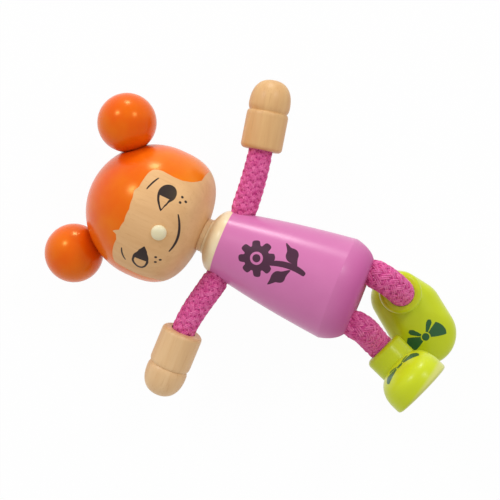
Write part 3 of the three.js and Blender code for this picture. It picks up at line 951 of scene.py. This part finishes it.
def farthest(way):
    """Which of the sole's circles reaches farthest in a direction."""
    reach = [x * way.x + y * way.y + radius for x, y, radius in sole_circles]
    return reach.index(max(reach))


bpy.ops.mesh.primitive_circle_add(vertices=96, radius=MM, location=(0, 0, 0))
shoe = bpy.context.object
shoe.name = shoe.data.name = "shoe"
owners = [farthest(vertex.co.normalized()) for vertex in shoe.data.vertices]
bpy.ops.object.mode_set(mode="EDIT")
bpy.ops.mesh.select_mode(type="VERT")
for number, (x, y, radius) in enumerate(sole_circles):
    select_vertices(shoe, lambda vertex: owners[vertex.index] == number)
    bpy.ops.transform.resize(value=(radius, radius, 1), center_override=(0, 0, 0))
    bpy.ops.transform.translate(value=(x * MM, y * MM, 0))
bpy.ops.mesh.select_mode(type="EDGE")
bpy.ops.mesh.select_all(action="DESELECT")
bpy.ops.object.mode_set(mode="OBJECT")
for edge in shoe.data.edges:
    a, b = (shoe.data.vertices[i].co for i in edge.vertices)
    edge.select = (a - b).length > MM
bpy.ops.object.mode_set(mode="EDIT")
bpy.ops.mesh.subdivide(number_cuts=10)
bpy.ops.mesh.select_all(action="SELECT")

grows = [(0.0, 1 - sole_inset / toe_radius)]
for i in range(1, 7):
    angle = math.radians(90 * i / 6)
    grows.append((sole_round * (1 - math.cos(angle)), 1 - sole_inset * (1 - math.sin(angle)) / toe_radius))
for i in range(31):
    angle = math.radians(89 * i / 30)
    rise = sole_wall + (shoe_dome - sole_wall) * math.sin(angle) ** (2 / shoe_square)
    grows.append((rise, math.cos(angle) ** (2 / shoe_square)))
first = grows[0][1]
bpy.ops.transform.resize(value=(first, first, 1), center_override=dome_centre)
for (z0, grow0), (z1, grow1) in zip(grows, grows[1:]):
    bpy.ops.mesh.extrude_edges_move(TRANSFORM_OT_translate={"value": (0, 0, (z1 - z0) * MM)})
    factor = grow1 / grow0
    bpy.ops.transform.resize(value=(factor, factor, 1), center_override=dome_centre)
bpy.ops.mesh.merge(type="CENTER")
bpy.ops.mesh.select_mode(type="VERT")
select_vertices(shoe, lambda vertex: vertex.co.z < 0.001 * MM)
bpy.ops.mesh.edge_face_add()
bpy.ops.mesh.select_all(action="SELECT")
bpy.ops.mesh.normals_make_consistent(inside=False)
bpy.ops.object.mode_set(mode="OBJECT")

ankle_profile = [
    (0, sole_wall),
    (ankle_radius, sole_wall),
    *[
        (ankle_radius - ankle_round + r, shoe_height - ankle_round + h)
        for r, h in arc(ankle_round, ankle_round, 2, 0, 90, 8)
    ],
    (0, shoe_height),
]
ankle = put(lathe("ankle", ankle_profile), Matrix.Rotation(math.radians(90), 4, "X"))
cut(shoe, ankle, "UNION")
ankle_bore = (0, 0, shoe_height - shoe_bore), (0, 0, shoe_height + drill_start)
cut(shoe, drill(*ankle_bore, leg_rope + rope_air))
print("shoe", [round(d / MM, 1) for d in shoe.dimensions])

# %% [markdown]
# The shoes are lime lacquer with a small dark green bow on the instep. The bow is one closed outline
# round its knot: two wide loops at the sides, two short tails toward the toe, and a thin lime ring
# that sets the knot apart.

# %% Shoe finish
bow_middle = (0, 14.0)
knot_radius = 1.05
knot_ring = 1.35
bow_outline = [  # degrees from the toe, and reach from the knot in mm, for one side
    (0, 0.9), (58, 0.9), (68, 5.8), (80, 5.9), (95, 5.6), (108, 5.2), (117, 4.9), (120, 1.0),
    (124, 1.0), (127, 4.2), (134, 4.9), (143, 4.8), (149, 3.9), (152, 0.9), (180, 0.9),
]


def bow_shape():
    """The bow's outline on both sides, in mm of the shoe's own frame."""
    points = []
    for side in (1, -1):
        for angle, reach in bow_outline:
            if side == -1 and angle in (0, 180):
                continue
            way = math.radians(angle)
            points.append((side * reach * math.sin(way), bow_middle[1] + reach * math.cos(way)))
    return points


def lime_lacquer(name, place, inner):
    """Bright lime lacquer, smooth and softly shiny, with a pale painted reflection low down, and a green
    bow printed on.
    """
    material, tree, shader = new_finish(name, Roughness=0.3, Specular_IOR_Level=0.28)
    shoe_mm = own_frame(tree, place)
    xyz = add(tree, "SeparateXYZ", [shoe_mm])
    from_above = add(tree, "CombineXYZ", [xyz.outputs["X"], xyz.outputs["Y"], 0.0])
    lime = mix(tree, noise(tree, shoe_mm, 0.14, 2.0).outputs["Fac"], "#c4d014", "#cedb1e")
    # A pale painted reflection along the inner edge of the sole, from nothing at the outer side
    painted_reflection = maths(tree, "MULTIPLY_ADD", xyz.outputs["X"], 0.16 * inner, 1.2)
    painted_reflection = maths(tree, "SUBTRACT", painted_reflection, xyz.outputs["Z"])
    toward_toe = ramp(tree, xyz.outputs["Y"], 2.0, 12.0)
    painted_reflection = maths(tree, "MULTIPLY", ink(tree, painted_reflection, edge=0.5), toward_toe)
    painted_reflection = maths(tree, "MULTIPLY", painted_reflection, 0.65)
    lime = mix(tree, painted_reflection, lime, "#d8d58c")
    bow_points = bow_shape()
    bow = outline_depth(tree, from_above, bow_middle, bow_points, range(len(bow_points)))
    gap = dot_depth(tree, from_above, bow_middle, knot_ring)
    gap = maths(tree, "MULTIPLY", gap, -1.0)
    knot = dot_depth(tree, from_above, bow_middle, knot_radius)
    loops = deepest(tree, [bow, gap], "MINIMUM")
    above = maths(tree, "SUBTRACT", xyz.outputs["Z"], sole_wall)
    shape = deepest(tree, [deepest(tree, [loops, knot]), above], "MINIMUM")
    feed(tree, shader, "Base Color", mix(tree, ink(tree, shape), lime, "#2c6036"))
    return material


for side, inner in (("left", 1), ("right", -1)):
    place = shoe_places[side]
    one = copy_of(shoe, f"shoe_{side}_lacquered")
    if side == "right":
        only(one)
        bpy.ops.object.mode_set(mode="EDIT")
        bpy.ops.mesh.select_all(action="SELECT")
        bpy.ops.transform.resize(value=(-1, 1, 1), center_override=(0, 0, 0))
        bpy.ops.mesh.normals_make_consistent(inside=False)
        bpy.ops.object.mode_set(mode="OBJECT")
    put(one, place, sharp=30)
    lime = lime_lacquer(f"lime_lacquer_{side}", place, inner)
    finish_piece(one, f"foot_{side}", lime, f"shoe_{side}")
bpy.data.objects.remove(shoe)

# %% [markdown]
# ## Braided cord
# The limbs are braided cord: twelve strands wind one way and twelve the other, and each passes over
# two and under two, which makes the columns of slanted stitches that a braid shows. A strand is three
# yarns side by side. Under them lies a core, and in its middle a soft wire that keeps the bend.
#
# Each cord is made as two pieces that meet in the middle. A point of a cord is
# found from how far along the path it is, its angle round the path and its distance from it.

# %% Limb paths
path_step = 0.2


def path_of(points):
    """A limb's middle line in small even steps: straight, one smooth bend, straight."""
    root, mouth, out, into, entry, end = (np.array(p, float) for p in points)
    t = np.linspace(0, 1, 200)[:, None]
    bend = (1 - t) ** 3 * mouth + 3 * (1 - t) ** 2 * t * out + 3 * (1 - t) * t**2 * into + t**3 * entry
    line = np.vstack([root + (mouth - root) * t[:-1], bend[:-1], entry + (end - entry) * t])
    steps = np.linalg.norm(np.diff(line, axis=0), axis=1)
    along = np.concatenate([[0], np.cumsum(steps)])
    even = np.linspace(0, along[-1], int(along[-1] / path_step))
    line = np.column_stack([np.interp(even, along, line[:, i]) for i in range(3)])
    tangent = np.gradient(line, axis=0)
    tangent /= np.linalg.norm(tangent, axis=1)[:, None]
    side = np.cross(tangent[0], (0.3, 0.2, 0.9))  # with a direction in which no limb runs
    sides = []
    for direction in tangent:
        side = side - direction * side.dot(direction)
        side = side / np.linalg.norm(side)
        sides.append(side)
    sides = np.array(sides)
    return even, line, sides, np.cross(tangent, sides)


def tube(name, lines, radius, sides_level, thickness=None):
    """Tubes along polylines in mm, as one mesh with closed ends. Thickness is a share at each point."""
    data = bpy.data.curves.new(name, "CURVE")
    data.dimensions = "3D"
    data.bevel_depth = radius * MM
    data.bevel_resolution = sides_level
    data.use_fill_caps = True
    for line in lines:
        spline = data.splines.new("POLY")
        spline.points.add(len(line) - 1)
        flat = np.column_stack([np.array(line) * MM, np.ones(len(line))]).astype(np.float32)
        spline.points.foreach_set("co", flat.ravel())
        if thickness is not None:
            spline.points.foreach_set("radius", thickness.astype(np.float32))
    piece = bpy.data.objects.new(name, data)
    bpy.context.scene.collection.objects.link(piece)
    only(piece)
    bpy.ops.object.convert(target="MESH")
    return bpy.context.object


strands = 12  # each way
yarns = 3  # in a strand
yarn_radius = 0.235
yarn_gap = 0.15  # between two strands, as a share of a yarn
outer_yarn_drop = 0.05  # how much lower a strand's two outer yarns lie
weave_lift = 0.36  # how far a strand goes up and down
weave_snap = 1.35  # above 1, a strand lies flat where it is over or under
core_rise = 0.2  # from the middle of the strands up to the core's surface
stitch_pitch = 2.1  # from one stitch to the next along the cord
swell = 0.12  # a cord bulges by this share where no bore grips it, most beside the body
swell_run = 1.5  # how soon it bulges outside the body


def plumpness(s, out_at, in_at):
    """How much thicker a cord is than in its bores, at a length along it."""
    rise = np.clip((s - out_at) / swell_run, 0, 1)
    fall = np.clip((in_at - s) / (in_at - out_at), 0, 1)
    return 1 + swell * rise * rise * (3 - 2 * rise) * np.sqrt(fall)


def strand_level(radius, s, grip):
    """How far the middle of the strands is from the cord's own middle."""
    return radius * plumpness(s, *grip) - (weave_lift + yarn_radius) * radius / arm_rope


def braid_lines(path, radius, start, end, grip):
    """The middle lines of all the yarns between two lengths along a path."""
    even, line, sides, ups = path
    keep = (even >= start - 1e-6) & (even <= end + 1e-6)
    s = even[keep]
    every_other = np.unique(np.append(np.arange(0, len(s), 2), len(s) - 1))
    size = radius / arm_rope
    middle = strand_level(radius, s, grip)
    twist = math.tau / strands / stitch_pitch
    lines = []
    for way in (1, -1):
        for strand in range(strands):
            crossing = 2 * strand + way * twist * s * strands / math.pi
            wave = np.cos(math.tau * (crossing - 0.5) / 4)
            lift = way * np.clip(weave_snap * wave, -1, 1) * weave_lift * size
            for yarn in range(yarns):
                offset = (yarn - (yarns - 1) / 2) * math.tau / strands / (yarns + yarn_gap)
                angle = math.tau * strand / strands + way * twist * s + offset
                edge = outer_yarn_drop * abs(yarn - (yarns - 1) / 2)
                out = (middle + lift - edge)[:, None]
                around = np.cos(angle)[:, None] * sides[keep] + np.sin(angle)[:, None] * ups[keep]
                lines.append((line[keep] + out * around)[every_other])
    return lines


# %% Cord finish
# Soft cotton yarn: matt, a little hairy at its edges, lighter on its crowns
cord_yarn, tree, shader = new_finish("pink_cotton_yarn", Roughness=0.9, Sheen_Weight=0.15)
shader.inputs["Sheen Roughness"].default_value = 0.5
where = add(tree, "TexCoord").outputs["Object"]
fibre = noise(tree, where, 2600.0, 3.0).outputs["Fac"]  # 0.4 mm, a few fibres
tone = noise(tree, where, 800.0, 2.0).outputs["Fac"]  # 1.2 mm, a stitch or two
share = maths(tree, "ADD", fibre, tone)
share = ramp(tree, share, 0.7, 1.3)
feed(tree, shader, "Base Color", mix(tree, share, "#cf3487", "#f67fba"))
feed(tree, shader, "Normal", add(tree, "Bump", {"Strength": 0.6, "Distance": 0.00012, "Height": fibre}))

# The core shows only between stitches, matt, and its dark pink is painted shade in the gaps
cord_core_and_shade, tree, shader = new_finish("pink_cord_core", Roughness=0.95)
fibre = noise(tree, add(tree, "TexCoord").outputs["Object"], 1500.0, 2.0).outputs["Fac"]
feed(tree, shader, "Base Color", mix(tree, fibre, "#b8307c", "#d04a92"))

# %% Cords
limb_ends = {
    "arm_left": ("hand_left", arm_rope),
    "arm_right": ("hand_right", arm_rope),
    "leg_left": ("foot_left", leg_rope),
    "leg_right": ("foot_right", leg_rope),
}
for limb, (far_body, radius) in limb_ends.items():
    path = path_of(limb_points[limb])
    even, line, _, _ = path
    mouth = np.array(limb_points[limb][1])
    entry = np.array(limb_points[limb][4])
    out_at = even[np.argmin(np.linalg.norm(line - mouth, axis=1))]
    in_at = even[np.argmin(np.linalg.norm(line - entry, axis=1))]
    halfway = np.argmin(abs(even - (out_at + in_at) / 2))
    middle_at, middle = even[halfway], line[halfway]
    halves = [
        ("near", 0, middle_at, "trunk", limb, mouth, middle),
        ("far", middle_at, even[-1], limb, far_body, middle, entry),
    ]
    for half, start, end, body_a, body_b, from_point, to_point in halves:
        keep = (even >= start - 1e-6) & (even <= end + 1e-6)
        size = radius / arm_rope
        yarn_lines = braid_lines(path, radius, start, end, (out_at, in_at))
        core_radius = strand_level(radius, even[keep], (out_at, in_at)) + core_rise * size
        parts = [
            tube("yarns", yarn_lines, yarn_radius * size, 1),
            tube("core", [line[keep][::3]], 1, 6, thickness=core_radius[::3]),
        ]
        for part, finish in zip(parts, (cord_yarn, cord_core_and_shade)):
            part.data.materials.clear()
            part.data.materials.append(finish)
        bpy.ops.object.select_all(action="DESELECT")
        for part in parts:
            part.select_set(True)
        bpy.context.view_layer.objects.active = parts[0]
        bpy.ops.object.join()
        cord = bpy.context.object
        cord.name = cord.data.name = f"{limb}_cord_{half}"
        bpy.ops.object.shade_smooth()
        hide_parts(f"{limb}_rope", f"{limb}_wire")
        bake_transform(cord)
        print(cord.name, len(cord.data.polygons), "faces")

# %% [markdown]
# ## Table and light
# The doll lies on a plain white table that keeps its shadow. Two soft boxes stand over the top of the
# picture, which give each ball its pair of highlights, and a third one lies low behind the buns, for
# the spot at their rim. A pale room fills the rest.



# %% Table
def looked_at(tree):
    """1 for a ray that looks: from the camera, off something shiny or through something clear."""
    rays = add(tree, "LightPath").outputs
    return deepest(tree, [rays[f"Is {kind} Ray"] for kind in ("Camera", "Glossy", "Transmission")])


bpy.ops.mesh.primitive_plane_add(size=6, location=(0, 0, -0.00002))
table = bpy.context.object
table.name = "table"
table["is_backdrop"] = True
# Matt white paper: it glows where it is looked at, and is lit and shaded where it sends light on
white, tree, shader = new_finish("matt_white_table", Roughness=0.9, Specular_IOR_Level=0.1)
shader.inputs["Base Color"].default_value = (0.88, 0.88, 0.88, 1)
share = maths(tree, "MULTIPLY", looked_at(tree), 0.97)
glow = add(tree, "Emission", {"Color": (1, 1, 1, 1), "Strength": 1.0})
mixed = add(tree, "MixShader", [share, shader, glow])
tree.links.new(mixed.outputs[0], tree.nodes["Material Output"].inputs["Surface"])
table.data.materials.append(white)

# %% Light
world = bpy.data.worlds.new("studio")
world.use_nodes = True
bpy.context.scene.world = world
tree = world.node_tree
background = tree.nodes["Background"]
room = ramp(tree, looked_at(tree), 0, 1, 0.62, 1.0)
feed(tree, background, "Strength", room)
background.inputs["Color"].default_value = (1, 1, 1, 1)
lamp_distance = 0.9


def soft_box(name, across, up, toward, size, power):
    """A square lamp in a direction given in the picture: to the right, up, and toward the camera."""
    direction = (picture_right * across + picture_up * up + Vector((0, 0, 1)) * toward).normalized()
    data = bpy.data.lights.new(name, "AREA")
    data.shape = "SQUARE"
    data.size = size
    data.energy = power
    lamp = bpy.data.objects.new(name, data)
    bpy.context.scene.collection.objects.link(lamp)
    lamp.location = direction * lamp_distance
    lamp.rotation_euler = direction.to_track_quat("Z", "Y").to_euler()


soft_box("key_left", -0.55, 0.57, 0.61, 0.15, 1.8)
soft_box("key_right", 0.45, 0.52, 0.73, 0.13, 1.4)
soft_box("low_top", -0.01, 0.98, 0.13, 0.15, 2.0)
bpy.context.scene.view_settings.view_transform = "Standard"

# %% Sizes and finish
low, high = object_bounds()
print("visual box in mm", [[round(c / MM, 1) for c in corner] for corner in (low, high)])
